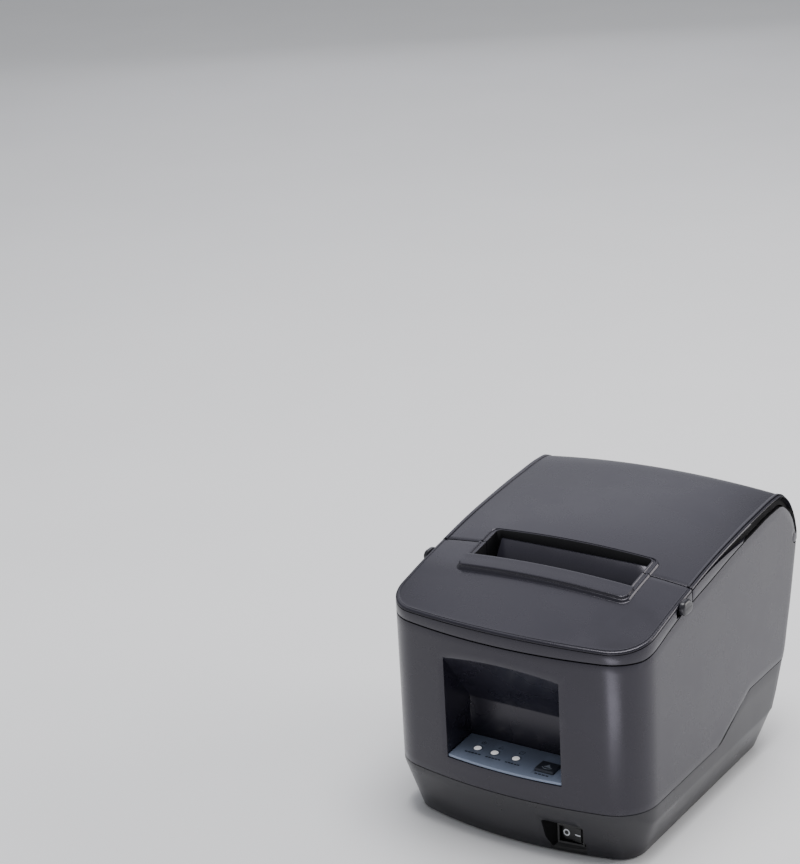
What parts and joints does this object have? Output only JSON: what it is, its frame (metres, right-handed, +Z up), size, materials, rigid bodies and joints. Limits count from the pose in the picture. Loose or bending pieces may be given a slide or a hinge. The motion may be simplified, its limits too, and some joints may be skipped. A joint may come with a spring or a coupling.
{
  "type": "receipt printer",
  "caption": "Desktop receipt printer for roll paper: bowed crowned case on a chamfered base, hinged rear lid, raised paper slot, front panel recess and rocker switch.",
  "frame": {"origin": "middle of the footprint, on the surface that the feet stand on", "axes": "+X to the printer's right as seen from the front, +Y to its rear, +Z up; the front panel faces -Y"},
  "size_m": [0.1512, 0.1926, 0.1468],
  "materials": {
    "housing_plastic": "black satin moulded plastic with a soft sheen",
    "base_plastic": "black satin moulded plastic",
    "inner_plastic": "matt black moulded plastic",
    "panel_film": "blue-grey printed film",
    "lamp_plastic": "milky white lens",
    "button_plastic": "dark slate",
    "switch_plastic": "black switch plastic with white marks",
    "rubber": "black rubber",
    "gear_nylon": "natural nylon",
    "brass": "machined",
    "circuit_board": "green solder mask",
    "ceramic": "glazed ceramic",
    "aluminium": "extruded",
    "steel": "zinc plated"
  },
  "bodies": {
    "printer_body": {"base_screw_1": "steel", "base_screw_2": "steel", "base_screw_3": "steel", "base_screw_4": "steel", "base_tray": "base_plastic", "connector_plate": "steel", "control_panel": "panel_film", "cutter_motor": "steel", "drawer_socket": "inner_plastic", "drive_gear_axle": "steel", "feed_motor": "steel", "foot_front_left": "rubber", "foot_front_right": "rubber", "foot_rear_left": "rubber", "foot_rear_right": "rubber", "front_cover": "housing_plastic", "head_heat_sink": "aluminium", "hinge_pin_left": "steel", "hinge_pin_right": "steel", "lamp_lens_1": "lamp_plastic", "lamp_lens_2": "lamp_plastic", "lamp_lens_3": "lamp_plastic", "main_board": "circuit_board", "main_housing": "housing_plastic", "mech_chassis": "steel", "network_socket": "steel", "panel_board": "circuit_board", "paper_bucket": "inner_plastic", "paper_sensor": "inner_plastic", "power_inlet": "inner_plastic", "print_head": "ceramic", "serial_socket": "steel", "switch_body": "switch_plastic", "usb_socket": "steel"},
    "lid": {"paper_lid": "housing_plastic", "lid_frame": "inner_plastic", "fixed_blade": "steel", "platen_bush_left": "gear_nylon", "platen_bush_right": "gear_nylon"},
    "platen": {"platen_shaft": "steel", "platen_rubber": "rubber", "platen_gear": "gear_nylon"},
    "drive_gear": {"drive_gear": "gear_nylon"},
    "motor_pinion": {"motor_pinion": "brass"},
    "release_bar": {"release_shaft": "steel", "release_knob_left": "inner_plastic", "release_knob_right": "inner_plastic", "release_hook_left": "steel", "release_hook_right": "steel"},
    "feed_button": {"feed_button": "button_plastic"},
    "switch_rocker": {"switch_rocker": "switch_plastic"},
    "cutter_blade": {"cutter_blade": "steel"},
    "cutter_pinion": {"cutter_pinion": "gear_nylon"}
  },
  "joints": [
    {"name": "lid_hinge", "type": "hinge", "parent": "printer_body", "child": "lid", "pos_m": [0, 0.09355, 0.1122], "axis": [-1, 0, 0], "range_deg": [0, 86]},
    {"name": "platen_spin", "type": "hinge", "parent": "lid", "child": "platen", "pos_m": [0, -0.01885, 0.104], "axis": [1, 0, 0], "continuous": true},
    {"name": "drive_gear_spin", "type": "hinge", "parent": "printer_body", "child": "drive_gear", "pos_m": [0.0483, -0.02239, 0.08305], "axis": [1, 0, 0], "continuous": true},
    {"name": "motor_pinion_spin", "type": "hinge", "parent": "printer_body", "child": "motor_pinion", "pos_m": [0.0483, -0.0396, 0.07697], "axis": [1, 0, 0], "continuous": true},
    {"name": "release_turn", "type": "hinge", "parent": "printer_body", "child": "release_bar", "pos_m": [0, -0.04535, 0.099], "axis": [1, 0, 0], "range_deg": [0, 10], "stiffness_Nm_per_rad": 0.4, "springref_deg": -8.59},
    {"name": "feed_button_press", "type": "slide", "parent": "printer_body", "child": "feed_button", "axis": [0, 0, -1], "range_m": [0, 0.001], "stiffness_N_per_m": 400, "springref_m": -0.0005},
    {"name": "power_switch_rock", "type": "hinge", "parent": "printer_body", "child": "switch_rocker", "pos_m": [0.03248, -0.08297, 0.0112], "axis": [0, 0, 1], "range_deg": [0, 12]},
    {"name": "cutter_blade_slide", "type": "slide", "parent": "printer_body", "child": "cutter_blade", "axis": [0, 1, 0], "range_m": [0, 0.006]},
    {"name": "cutter_pinion_spin", "type": "hinge", "parent": "printer_body", "child": "cutter_pinion", "pos_m": [-0.032, -0.06135, 0.114], "axis": [0, 0, 1], "range_deg": [0, 58]}
  ],
  "couplings": [
    {"joint": "drive_gear_spin", "follows": "platen_spin", "ratio": -0.75},
    {"joint": "motor_pinion_spin", "follows": "platen_spin", "ratio": 1.5},
    {"joint": "cutter_pinion_spin", "follows": "cutter_blade_slide", "rad_per_m": 166.67}
  ]
}
